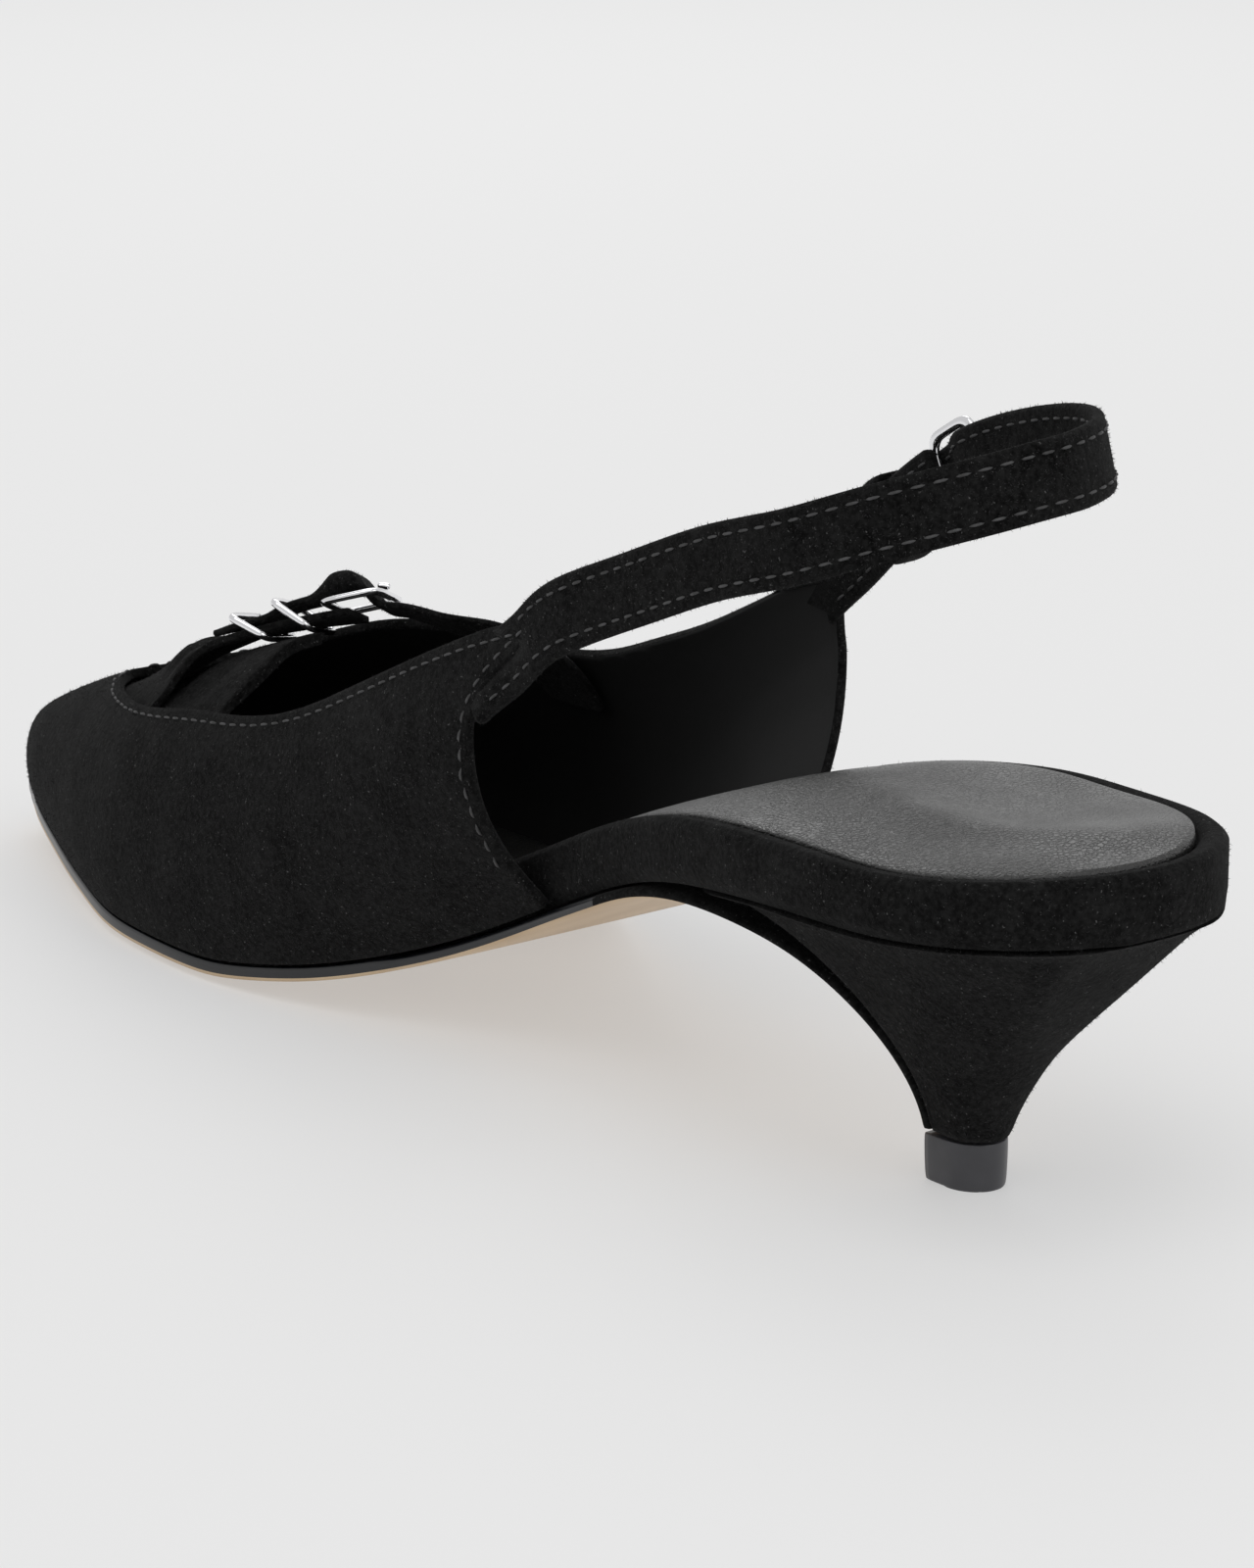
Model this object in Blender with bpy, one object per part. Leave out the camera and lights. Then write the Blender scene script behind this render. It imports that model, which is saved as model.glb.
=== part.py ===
"""Right shoe of a pair: pointed suede slingback pump on a low kitten heel."""
import math

import bpy
import numpy as np

for old in list(bpy.data.objects):
    bpy.data.objects.remove(old, do_unlink=True)

# Driving sizes of the last and its heel, in metres
LENGTH = 0.264
BALL_WIDTH = 0.0775
SEAT_WIDTH = 0.058
HEEL_HEIGHT = 0.0432
TOE_SPRING = 0.0060
INSTEP_HEIGHT = 0.0520

# Thicknesses
SOLE_THICK = 0.0022
BREAST_THICK = 0.0013
BOARD_THICK = 0.0100
BOARD_THIN = 0.0030
UPPER_WALL = 0.0016
SOCK_THICK = 0.0014
SOCK_PAD = 0.0013
STRAP_THICK = 0.0018
BELT_THICK = 0.0011
BELT_DROP = 0.0016
METAL = 0.0012
KEEPER_BAR = 0.0009
PRONG = 0.0011

# Widths
RIM_WIDTH = 0.0036
TIP_WIDTH = 0.0096
STRAP_WIDTH = 0.0102
BELT_WIDTH = 0.0130
BILLET_WIDTH = 0.0098
EDGE_LIFT = 0.0011

GAP = 0.0004
TOE_ROUND = 0.93
SEAT_ROUND = 0.118
APEX = 0.883

# Sole outline: x / LENGTH, the width it follows, inner side share, outer side share
OUTLINE = (
    (0.000, SEAT_WIDTH, 0.478, 0.482),
    (0.118, SEAT_WIDTH, 0.488, 0.493),
    (0.189, SEAT_WIDTH, 0.476, 0.507),
    (0.227, SEAT_WIDTH, 0.459, 0.472),
    (0.284, SEAT_WIDTH, 0.410, 0.410),
    (0.322, BALL_WIDTH, 0.276, 0.274),
    (0.371, BALL_WIDTH, 0.257, 0.253),
    (0.417, BALL_WIDTH, 0.253, 0.263),
    (0.462, BALL_WIDTH, 0.271, 0.297),
    (0.511, BALL_WIDTH, 0.308, 0.352),
    (0.568, BALL_WIDTH, 0.360, 0.428),
    (0.625, BALL_WIDTH, 0.405, 0.511),
    (0.682, BALL_WIDTH, 0.426, 0.563),
    (0.758, BALL_WIDTH, 0.410, 0.557),
    (0.833, BALL_WIDTH, 0.341, 0.444),
    (0.909, BALL_WIDTH, 0.246, 0.252),
    (0.947, BALL_WIDTH, 0.196, 0.139),
    (0.977, BALL_WIDTH, 0.157, 0.057),
    (1.000, BALL_WIDTH, 0.137, 0.000),
)

# Underside of the footbed: x / LENGTH, share of the heel height, share of the toe spring
RISE = (
    (0.000, 1.000, 0.000), (0.038, 0.985, 0.000), (0.106, 0.961, 0.000), (0.189, 0.937, 0.000),
    (0.246, 0.898, 0.000), (0.284, 0.854, 0.000), (0.322, 0.785, 0.000), (0.379, 0.634, 0.000),
    (0.417, 0.517, 0.000), (0.473, 0.346, 0.000), (0.511, 0.249, 0.000), (0.568, 0.132, 0.000),
    (0.606, 0.068, 0.000), (0.636, 0.025, 0.000), (0.663, 0.000, 0.000), (0.746, 0.000, 0.000),
    (0.795, 0.000, 0.100), (0.833, 0.000, 0.250), (0.909, 0.000, 0.560), (0.966, 0.000, 0.850),
    (1.000, 0.000, 1.000),
)

# Last: x / LENGTH, ridge y / BALL_WIDTH, ridge z / INSTEP_HEIGHT, then the widest point's
# y and z on the inner side and on the outer side, as shares of the same two sizes
LAST = (
    (0.330, 0.026, 1.880, 0.396, 1.250, 0.380, 1.220),
    (0.371, 0.026, 1.769, 0.400, 1.154, 0.387, 1.115),
    (0.451, 0.031, 1.548, 0.419, 0.923, 0.419, 0.846),
    (0.508, 0.036, 1.394, 0.426, 0.731, 0.458, 0.635),
    (0.568, 0.044, 1.250, 0.432, 0.538, 0.497, 0.462),
    (0.625, 0.053, 1.135, 0.443, 0.404, 0.542, 0.346),
    (0.682, 0.062, 1.033, 0.449, 0.308, 0.579, 0.269),
    (0.758, 0.071, 0.892, 0.432, 0.260, 0.570, 0.231),
    (0.814, 0.077, 0.779, 0.383, 0.242, 0.498, 0.222),
    (0.871, 0.087, 0.663, 0.315, 0.242, 0.374, 0.224),
    (0.909, 0.090, 0.588, 0.265, 0.246, 0.268, 0.231),
    (0.947, 0.090, 0.506, 0.212, 0.250, 0.155, 0.242),
    (0.973, 0.089, 0.442, 0.173, 0.250, 0.078, 0.246),
    (0.989, 0.089, 0.385, 0.154, 0.247, 0.036, 0.244),
    (1.000, 0.088, 0.300, 0.142, 0.240, 0.005, 0.240),
)

# Opening's edge: x / LENGTH, how far up from the widest point to the ridge, inner and outer
TOPLINE = (
    (0.360, 0.330, 0.350), (0.398, 0.386, 0.395), (0.451, 0.446, 0.445), (0.508, 0.507, 0.515),
    (0.549, 0.534, 0.560), (0.587, 0.544, 0.580), (0.629, 0.578, 0.625), (0.644, 0.596, 0.650),
    (0.663, 0.621, 0.710), (0.693, 0.660, 0.825), (0.712, 0.672, 0.900), (0.754, 0.697, 0.925),
    (0.803, 0.776, 0.930), (0.850, 0.897, 0.950), (APEX, 1.000, 1.000),
)

# Rear edge of the sides: share of the way up, x / LENGTH on the inner and the outer side
REAR_EDGE = (
    (0.00, 0.403, 0.361), (0.14, 0.416, 0.365), (0.30, 0.414, 0.373), (0.48, 0.403, 0.376),
    (0.66, 0.386, 0.375), (0.84, 0.361, 0.361), (1.00, 0.395, 0.388),
)

# Underside of the sole where it leaves the foot and turns down the front of the heel:
# x / LENGTH, z / HEEL_HEIGHT, half width / SEAT_WIDTH
BREAST = (
    (0.341, 0.708, 0.352), (0.318, 0.757, 0.362), (0.295, 0.785, 0.359), (0.273, 0.789, 0.348),
    (0.250, 0.769, 0.324), (0.227, 0.725, 0.286), (0.208, 0.667, 0.252), (0.191, 0.588, 0.214),
    (0.177, 0.495, 0.176), (0.168, 0.403, 0.141), (0.162, 0.306, 0.110), (0.159, 0.222, 0.091),
    (0.158, 0.167, 0.083),
)

# Back of the heel in side view: x / LENGTH, z / HEEL_HEIGHT
HEEL_BACK = (
    (0.004, 0.993), (0.014, 0.926), (0.031, 0.833), (0.051, 0.718), (0.071, 0.602),
    (0.089, 0.486), (0.103, 0.370), (0.114, 0.255), (0.120, 0.166),
)

# Middle of the heel strap from the inner side to the outer: x / LENGTH, y / SEAT_WIDTH,
# z / HEEL_HEIGHT, outward lean of its upper edge
STRAP_PATH = (
    (0.420, 0.484, 1.320, -0.20), (0.400, 0.474, 1.425, -0.20), (0.379, 0.458, 1.525, -0.18),
    (0.355, 0.466, 1.642, -0.10), (0.333, 0.480, 1.716, -0.04), (0.277, 0.494, 1.862, 0.00),
    (0.220, 0.486, 2.003, -0.04), (0.167, 0.455, 2.106, -0.08), (0.129, 0.385, 2.198, -0.14),
    (0.103, 0.280, 2.262, -0.20), (0.087, 0.145, 2.308, -0.26), (0.081, 0.000, 2.335, -0.30),
    (0.090, -0.130, 2.342, -0.26), (0.113, -0.250, 2.335, -0.20), (0.146, -0.335, 2.308, -0.14),
    (0.189, -0.385, 2.250, -0.08), (0.246, -0.415, 2.130, -0.04), (0.303, -0.430, 1.920, -0.04),
    (0.348, -0.432, 1.720, -0.10), (0.379, -0.432, 1.575, -0.20), (0.400, -0.440, 1.460, -0.22),
    (0.420, -0.450, 1.350, -0.22),
)

# Instep belt: where the gathered panel starts under the throat's edge and where it is
# drawn together, as stations on the last (x / LENGTH, share of the way down from the ridge,
# inner side positive), from its front edge to its rear edge
BELT_BASE = ((0.902, -0.12), (0.892, 0.16), (0.868, 0.42), (0.828, 0.57), (0.790, 0.63))
BELT_NECK = (0.773, 0.040)
BELT_END = (0.712, -0.145)
# Lower edge and upper edge of the gathered panel's rear pleat, front to rear
PLEAT_BASE = ((0.862, 0.52), (0.815, 0.64), (0.755, 0.71), (0.700, 0.75))
PLEAT_TOP = ((0.797, -0.010), (0.768, -0.015), (0.738, -0.025), (0.712, -0.045))
# The belt's loose end: its root inside the outer side (station, side share, lift / BELT_THICK),
# then its run over the belt (share of the way from the neck to the end, lift / BELT_THICK)
BILLET_ROOT = (
    (0.643, -0.708, -2.90), (0.645, -0.618, -2.90), (0.648, -0.528, -2.90), (0.650, -0.475, -2.90),
    (0.654, -0.423, -2.90), (0.658, -0.373, -2.80), (0.664, -0.326, -2.40), (0.671, -0.284, -1.60),
    (0.680, -0.247, -0.40),
)
BILLET_RUN = (
    (1.36, 0.60), (1.28, 0.85), (1.21, 1.10), (1.14, 2.40), (1.06, 4.70), (0.98, 6.20),
    (0.91, 6.20), (0.84, 5.10), (0.77, 3.90), (0.71, 3.35), (0.62, 3.20), (0.52, 2.90),
    (0.46, 2.50), (0.40, 2.10), (0.30, 1.95), (0.10, 1.95), (-0.08, 2.10),
)
# The belt's hardware: share of the way from its neck to its end, half length along the belt and,
# for the two rings that lean over the belt, how far they lean from its surface
BUCKLE_AT = 1.03
BUCKLE_HALF = 0.0052
BUCKLE_BAR = 0.0016
RINGS_AT = ((0.60, 0.0039, math.radians(44)), (0.30, 0.0036, math.radians(41)))
RING_EASE = 0.0008
# How much thicker the folded arch of the loose end is than the belt
ARCH_FOLD = 2.0


def column(table, k):
    return np.array([row[k] for row in table], float)


def curve(xs, ys, x):
    """Smooth curve through points that never overshoots them."""
    xs, ys, x = np.asarray(xs, float), np.asarray(ys, float), np.asarray(x, float)
    h, d = np.diff(xs), np.diff(ys) / np.diff(xs)
    m = np.concatenate([[d[0]], np.zeros(len(d) - 1), [d[-1]]])
    for i in range(1, len(d)):
        if d[i - 1] * d[i] > 0:
            a, b = 2 * h[i] + h[i - 1], h[i] + 2 * h[i - 1]
            m[i] = (a + b) / (a / d[i - 1] + b / d[i])
    k = np.clip(np.searchsorted(xs, x) - 1, 0, len(h) - 1)
    t = np.clip((x - xs[k]) / h[k], 0, 1)
    return ((1 + 2 * t) * (1 - t) ** 2 * ys[k] + t * (1 - t) ** 2 * h[k] * m[k]
            + t * t * (3 - 2 * t) * ys[k + 1] + t * t * (t - 1) * h[k] * m[k + 1])


def ramp(x, a, b):
    t = np.clip((np.asarray(x, float) - a) / (b - a), 0, 1)
    return t * t * (3 - 2 * t)


OUT_X = column(OUTLINE, 0)
OUT_IN = column(OUTLINE, 1) * column(OUTLINE, 2)
OUT_OUT = -column(OUTLINE, 1) * column(OUTLINE, 3)
TOE_Y = BALL_WIDTH * LAST[-1][1]


def end_round(u):
    toe = np.clip((u - TOE_ROUND) / (1 - TOE_ROUND), 0, 1)
    seat = np.clip((SEAT_ROUND - u) / SEAT_ROUND, 0, 1)
    return (1 - toe ** 2.5) ** 0.4 * np.sqrt(1 - seat ** 2)


def axis_y(u):
    return TOE_Y * ramp(u, 0.62, 1.0)


def sole_edge(u, side, inset=0.0):
    """y of the sole's edge; inset draws it inward without ever crossing over."""
    full = curve(OUT_X, OUT_IN if side > 0 else OUT_OUT, u)
    mid = axis_y(u)
    half = full - mid
    keep = 1 - np.minimum(np.asarray(inset) / np.abs(half), 0.8)
    return mid + half * end_round(u) * keep


def board_z(u):
    """Height of the footbed's underside along the middle."""
    lift = (HEEL_HEIGHT - SOLE_THICK) * curve(column(RISE, 0), column(RISE, 1), u)
    return SOLE_THICK + lift + TOE_SPRING * curve(column(RISE, 0), column(RISE, 2), u)


def edge_lift(u, r):
    """The forefoot's sole is flat in the middle and turns up a little at its edge."""
    return EDGE_LIFT * ramp(u, 0.56, 0.66) * np.clip((np.abs(r) - 0.62) / 0.38, 0, 1) ** 1.5


def last_point(u, side, bottom, angle):
    """Point of the upper's outer face: bottom 0..1 below the widest point, then the angle."""
    xs = column(LAST, 0)
    k = 3 if side > 0 else 5
    near_toe = (1 - np.clip((u - TOE_ROUND) / (1 - TOE_ROUND), 0, 1) ** 2.5) ** 0.4
    ry = BALL_WIDTH * curve(xs, column(LAST, 1), u)
    rz = INSTEP_HEIGHT * curve(xs, column(LAST, 2), u)
    by = side * BALL_WIDTH * curve(xs, column(LAST, k), u)
    bz = INSTEP_HEIGHT * curve(xs, column(LAST, k + 1), u)
    by = axis_y(u) + (by - axis_y(u)) * near_toe
    ey = sole_edge(u, side)
    ez = board_z(u) + edge_lift(u, 1.0) + GAP
    if angle is None:
        y = ey + (by - ey) * math.sin(math.pi / 2 * bottom)
        z = ez + (bz - ez) * bottom
    else:
        on_ridge = angle >= math.pi / 2 - 1e-9
        y = ry if on_ridge else ry + (by - ry) * math.cos(angle)
        z = rz if on_ridge else bz + (rz - bz) * math.sin(angle) ** 0.96
    return np.array([u * LENGTH, y, z])


MATERIALS = {}


def material(name, colour, rough, metal=0.0):
    if name not in MATERIALS:
        mat = bpy.data.materials.new(name)
        mat.use_nodes = True
        shader = mat.node_tree.nodes["Principled BSDF"]
        shader.inputs["Base Color"].default_value = (*colour, 1.0)
        shader.inputs["Roughness"].default_value = rough
        shader.inputs["Metallic"].default_value = metal
        MATERIALS[name] = mat
    return MATERIALS[name]


SUEDE = ("suede_black", (0.018, 0.018, 0.020), 0.95)
SOCK = ("sock_leather", (0.085, 0.082, 0.080), 0.55)
SOLE = ("outsole_tan", (0.62, 0.47, 0.30), 0.50)
TIP = ("top_lift_black", (0.045, 0.045, 0.050), 0.40)
STEEL = ("polished_metal", (0.80, 0.80, 0.82), 0.12, 1.0)

PARTS = []


def weld(verts, faces):
    """Join points that coincide and drop faces that collapse."""
    index, points, remap = {}, [], []
    for v in verts:
        key = tuple(np.round(np.asarray(v) / 2e-6).astype(int))
        if key not in index:
            index[key] = len(points)
            points.append(np.asarray(v, float))
        remap.append(index[key])
    out = []
    for f in faces:
        ring = [remap[i] for i in f]
        ring = [v for i, v in enumerate(ring) if v != ring[i - 1]]
        if len(ring) > 2 and len(set(ring)) == len(ring):
            out.append(ring)
    return np.array(points), out


def triangles(faces):
    return [(f[0], f[i], f[i + 1]) for f in faces for i in range(1, len(f) - 1)]


def build(name, verts, faces, look, smooth=True):
    points, faces = weld(verts, faces)
    tris = np.array(triangles(faces))
    p = points[tris]
    volume = np.einsum("ij,ij->i", p[:, 0], np.cross(p[:, 1], p[:, 2])).sum()
    if volume < 0:
        faces = [f[::-1] for f in faces]
    PARTS.append((name, points, faces, look, smooth))


def grid_faces(rows, cols, start=0, closed=False):
    last = cols if closed else cols - 1
    return [(start + i * cols + j, start + i * cols + (j + 1) % cols,
             start + (i + 1) * cols + (j + 1) % cols, start + (i + 1) * cols + j)
            for i in range(rows - 1) for j in range(last)]


def slab(name, top, under, look, smooth=True):
    """Solid between two grids of the same shape."""
    rows, cols = top.shape[:2]
    n = rows * cols
    verts = list(top.reshape(-1, 3)) + list(under.reshape(-1, 3))
    upper = grid_faces(rows, cols)
    faces = upper + [tuple(n + i for i in f[::-1]) for f in upper]
    rim = [j for j in range(cols)] + [i * cols + cols - 1 for i in range(1, rows)]
    rim += [(rows - 1) * cols + j for j in range(cols - 2, -1, -1)]
    rim += [i * cols for i in range(rows - 2, 0, -1)]
    faces += [(rim[k - 1] + n, rim[k] + n, rim[k], rim[k - 1]) for k in range(len(rim))]
    build(name, verts, faces, look, smooth)


def tube(name, rings, look, smooth=True, ends=True):
    """Solid through a stack of closed rings; open ended rings close on themselves."""
    rings = [np.asarray(r) for r in rings]
    n, k = len(rings), len(rings[0])
    verts = [v for r in rings for v in r]
    faces = grid_faces(n, k, closed=True)
    if ends:
        for base, ring, flip in ((0, rings[0], True), ((n - 1) * k, rings[-1], False)):
            half = k // 2
            for i in range(half):
                quad = (base + i, base + i + 1, base + (k - i - 1) % k, base + (k - i) % k)
                faces.append(quad[::-1] if flip else quad)
    else:
        faces += [((n - 1) * k + j, (n - 1) * k + (j + 1) % k, (j + 1) % k, j) for j in range(k)]
    build(name, verts, faces, look, smooth)


def unit(v):
    return v / np.maximum(np.linalg.norm(v, axis=-1, keepdims=True), 1e-12)


def sweep(name, path, wide, widths, thick, look, smooth=True, out=None):
    """Flat strap: path points, the direction across it, its width and thickness at each."""
    path = np.asarray(path)
    along = unit(np.gradient(path, axis=0))
    wide = unit(wide - along * np.sum(wide * along, axis=1, keepdims=True))
    face = np.cross(along, wide)
    if out is not None:
        face = face * np.sign(np.sum(face * out, axis=1, keepdims=True))
    rings = []
    for p, w, n, width, t in zip(path, wide, face, widths, thick):
        a, b, c = width / 2, t / 2, min(t * 0.28, width * 0.1)
        shape = ((-a + c, -b), (0, -b), (a - c, -b), (a, -b + c), (a, b - c), (a - c, b),
                 (0, b), (-a + c, b), (-a, b - c), (-a, -b + c))
        rings.append([p + w * s + n * q for s, q in shape])
    tube(name, rings, look, smooth)


def frame_ring(name, centre, u, v, half_u, half_v, bar_u, bar_n, look, corner=0.35):
    """Rectangular metal ring in the plane of u and v, its bars bar_u wide and bar_n thick."""
    n = np.cross(u, v)
    steps, rings = 40, []
    power = 2 + 6 * (1 - corner)
    for k in range(steps):
        a = 2 * math.pi * k / steps
        ca, sa = math.cos(a), math.sin(a)
        scale = (abs(ca) ** power + abs(sa) ** power) ** (-1 / power)
        dx, dy = ca * scale, sa * scale
        mid = centre + u * dx * (half_u - bar_u / 2) + v * dy * (half_v - bar_u / 2)
        inner = centre + u * dx * (half_u - bar_u) + v * dy * (half_v - bar_u)
        outer = centre + u * dx * half_u + v * dy * half_v
        r = (outer - inner) / 2
        ring = []
        for j in range(8):
            b = 2 * math.pi * (j + 0.5) / 8
            grow = 1.08
            ring.append(mid + r * math.cos(b) * grow + n * bar_n / 2 * math.sin(b) * grow)
        rings.append(ring)
    tube(name, rings, look, ends=False)


# Stations along the shoe, closer together at both rounded ends
def stations(a, b, count, bend_a=1.0, bend_b=1.0):
    s = np.linspace(0, 1, count)
    if bend_b > 1:
        s = 1 - (1 - s) ** bend_b
    if bend_a > 1:
        s = s ** bend_a
    return a + (b - a) * s


# Outsole: under the foot, round the arch and down the front of the heel
def make_outsole():
    fore = stations(0.364, 1.0, 34, bend_b=1.7)[::-1]
    rs = np.array([-1, -0.86, -0.62, -0.3, 0, 0.3, 0.62, 0.86, 1])
    top, under = [], []
    for u in fore:
        yi, yo = sole_edge(u, 1), sole_edge(u, -1)
        y = np.where(rs >= 0, axis_y(u) + (yi - axis_y(u)) * rs, axis_y(u) - (yo - axis_y(u)) * rs)
        z = board_z(u) + edge_lift(u, rs if u < 1 else np.ones(9))
        top.append(np.stack([np.full(9, u * LENGTH), y, z], 1))
        under.append(np.stack([np.full(9, u * LENGTH), y, z - SOLE_THICK], 1))
    breast = np.array([(a * LENGTH, b * HEEL_HEIGHT) for a, b, w in BREAST])
    first = np.array([fore[-1] * LENGTH, board_z(fore[-1]) - SOLE_THICK])
    line = np.vstack([first, breast])
    tangent = unit(np.gradient(line, axis=0))
    normal = np.stack([tangent[:, 1], -tangent[:, 0]], 1)
    for k, (p, n) in enumerate(zip(line[1:], normal[1:])):
        u = p[0] / LENGTH
        thick = BREAST_THICK + (SOLE_THICK - BREAST_THICK) * float(ramp(u, 0.25, 0.34))
        if BREAST[k][1] < 0.9 and k > 3:
            thick = BREAST_THICK
        half = BREAST[k][2] * SEAT_WIDTH
        y = rs * half
        under.append(np.stack([np.full(9, p[0]), y, np.full(9, p[1])], 1))
        q = p + n * thick
        q[1] = min(q[1], float(board_z(q[0] / LENGTH)))
        top.append(np.stack([np.full(9, q[0]), y, np.full(9, q[1])], 1))
    slab("outsole", np.array(top), np.array(under), SOLE)
    return line, normal


def footbed_inset(u, side):
    start, end = (0.372, 0.398) if side > 0 else (0.318, 0.350)
    return 0.00015 + (UPPER_WALL + 2 * GAP) * ramp(u, start, end)


def rim_width(u):
    return RIM_WIDTH + (0.0012 - RIM_WIDTH) * ramp(u, 0.42, 0.60)


def rim_z(u):
    thick = BOARD_THICK + (BOARD_THIN - BOARD_THICK) * ramp(u, 0.46, 0.66)
    return board_z(u) + thick - 0.0007 * np.exp(-((u - 0.10) / 0.08) ** 2)


def recess(u):
    return 0.0016 + (0.0004 - 0.0016) * ramp(u, 0.40, 0.60)


LOOP_U = np.concatenate([stations(0, 0.30, 13, bend_a=1.8), stations(0.30, 1.0, 27, bend_b=1.7)[1:]])


def loop(inset_in, inset_out, height, back, toe):
    """Closed ring round the foot's plan, drawn in by back and toe at its two ends."""
    u = LOOP_U
    x = u * LENGTH + back * (1 - ramp(u, 0, 0.14)) - toe * ramp(u, 0.80, 1.0)
    z = height(x / LENGTH)
    inner = np.stack([x, sole_edge(u, 1, inset_in), z], 1)
    outer = np.stack([x, sole_edge(u, -1, inset_out), z], 1)
    return np.vstack([inner, outer[::-1][1:-1]])


def layer(name, rings, low, high, look, columns=6):
    """Solid from stacked rings with a low and a high face spanned from side to side."""
    k, n = len(rings[0]), len(rings)
    verts = [v for r in rings for v in r]
    faces = grid_faces(n, k, closed=True)
    half = len(LOOP_U)
    for ring, base, shape, flip in ((rings[0], 0, low, True), (rings[-1], (n - 1) * k, high, False)):
        grid = []
        for i in range(half):
            a = ring[i]
            b = ring[(k - i) % k]
            row = [a + (b - a) * c / columns for c in range(columns + 1)]
            for c in range(1, columns):
                r = 2 * c / columns - 1
                row[c] = row[c] + np.array([0, 0, shape(LOOP_U[i], r)])
            grid.append(row)
        start = len(verts)
        verts += [p for row in grid for p in row]
        cap = grid_faces(half, columns + 1, start=start)
        faces += [f[::-1] for f in cap] if not flip else cap
    build(name, verts, faces, look)


def bed_low(u):
    return board_z(u) + edge_lift(u, 1.0) * 0.9 + GAP


def bed_top(u):
    return rim_z(u) + edge_lift(u, 1.0) * 0.5


def make_footbed():
    u = LOOP_U
    ii, io = footbed_inset(u, 1), footbed_inset(u, -1)
    rim = rim_width(u)
    soft = np.minimum(0.0009, rim * 0.3)
    toe = 1.7 * (UPPER_WALL + 2 * GAP)
    back = 0.0002

    def below(depth):
        return lambda x: bed_top(x) - depth
    well = recess(u)
    rings = [loop(ii, io, bed_low, back, toe),
             loop(ii, io, below(soft), back, toe),
             loop(ii + soft, io + soft, bed_top, back + 0.0009, toe + 0.0004),
             loop(ii + rim - soft, io + rim - soft, bed_top, back + RIM_WIDTH - 0.0009,
                  toe + 0.0014),
             loop(ii + rim, io + rim, below(well * 0.4), back + RIM_WIDTH, toe + 0.0018),
             loop(ii + rim + 0.0001, io + rim + 0.0001, below(well), back + RIM_WIDTH + 0.0001,
                  toe + 0.0019)]
    layer("footbed", rings, lambda s, r: 0.0, lambda s, r: 0.0, SUEDE)


def make_sock():
    u = LOOP_U
    rim = rim_width(u) + 0.0001 + GAP
    ii, io = footbed_inset(u, 1) + rim, footbed_inset(u, -1) + rim

    def above(lift):
        return lambda x: bed_top(x) - recess(x) + GAP + lift
    back = 0.0003 + RIM_WIDTH + GAP
    toe = 1.7 * (UPPER_WALL + 2 * GAP) + 0.0019 + 1.5 * GAP
    rings = [loop(ii, io, above(0), back, toe), loop(ii, io, above(SOCK_THICK * 0.6), back, toe),
             loop(ii + 0.0006, io + 0.0006, above(SOCK_THICK), back + 0.0006, toe + 0.0008)]

    def pad(s, r):
        seat = SOCK_PAD * float(ramp(s, 0.0, 0.05) * (1 - ramp(s, 0.22, 0.42)))
        return seat * (1 - abs(r) ** 3)
    layer("insole_sock", rings, lambda s, r: 0.0, pad, SOCK)


# Heel: rings fan from the seat down to the small D of the top lift
def make_heel(line, normal):
    first = 4
    front = []
    for k in range(first, len(line)):
        reach = BREAST_THICK + GAP + (0.0005 if k == first else 0.0)
        front.append(np.append(line[k] + normal[k] * reach, BREAST[k - 1][2] * SEAT_WIDTH))
    front = np.array(front)
    dist = np.concatenate([[0], np.cumsum(np.linalg.norm(np.diff(front[:, :2], axis=0), axis=1))])
    back = np.array(HEEL_BACK) * (LENGTH, HEEL_HEIGHT)
    bdist = np.concatenate([[0], np.cumsum(np.linalg.norm(np.diff(back, axis=0), axis=1))])
    rings = []
    count = 14
    steps = np.array([1 - math.cos(t) for t in np.linspace(0, math.pi / 2, 12)])
    for k in range(count):
        s = k / (count - 1)
        f = [np.interp(s * dist[-1], dist, front[:, c]) for c in range(3)]
        b = [np.interp(s * bdist[-1], bdist, back[:, c]) for c in range(2)]
        inner, outer = [], []
        for a in steps:
            x = b[0] + (f[0] - b[0]) * a
            z = b[1] + (f[1] - b[1]) * a
            u = x / LENGTH
            follow = (1 - s) ** 5
            z += (float(board_z(u)) - z) * follow if k else (float(board_z(u)) - z)
            bow = min(a / 0.55, 1.0)
            d_shape = math.sqrt(max(0.0, 1 - (1 - bow) ** 2)) * (1 + 0.05 * (1 - a))
            seat_in = float(sole_edge(u, 1)) / float(sole_edge(f[0] / LENGTH, 1))
            seat_out = float(-sole_edge(u, -1)) / float(-sole_edge(f[0] / LENGTH, -1))
            blend = min(1.0, s * 1.45)
            if k == 0:
                yi, yo = float(sole_edge(u, 1)), float(sole_edge(u, -1))
            else:
                base_in = min(f[2], float(sole_edge(f[0] / LENGTH, 1)))
                yi = base_in * (seat_in * (1 - blend) + d_shape * blend)
                yo = -base_in * (seat_out * (1 - blend) + d_shape * blend)
            if a == 0:
                yi = yo = 0.0
            inner.append((x, yi, z))
            outer.append((x, yo, z))
        rings.append(np.array(inner + outer[::-1][:-1]))
    k = len(rings[0])
    verts = [v for r in rings for v in r]
    faces = grid_faces(count, k, closed=True)
    half = len(steps)
    for base, flip in ((0, True), ((count - 1) * k, False)):
        for i in range(half - 1):
            quad = (base + i, base + i + 1, base + k - i - 1, base + (k - i) % k)
            faces.append(quad[::-1] if flip else quad)
    build("heel", verts, faces, SUEDE)
    return rings[-1]


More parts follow.
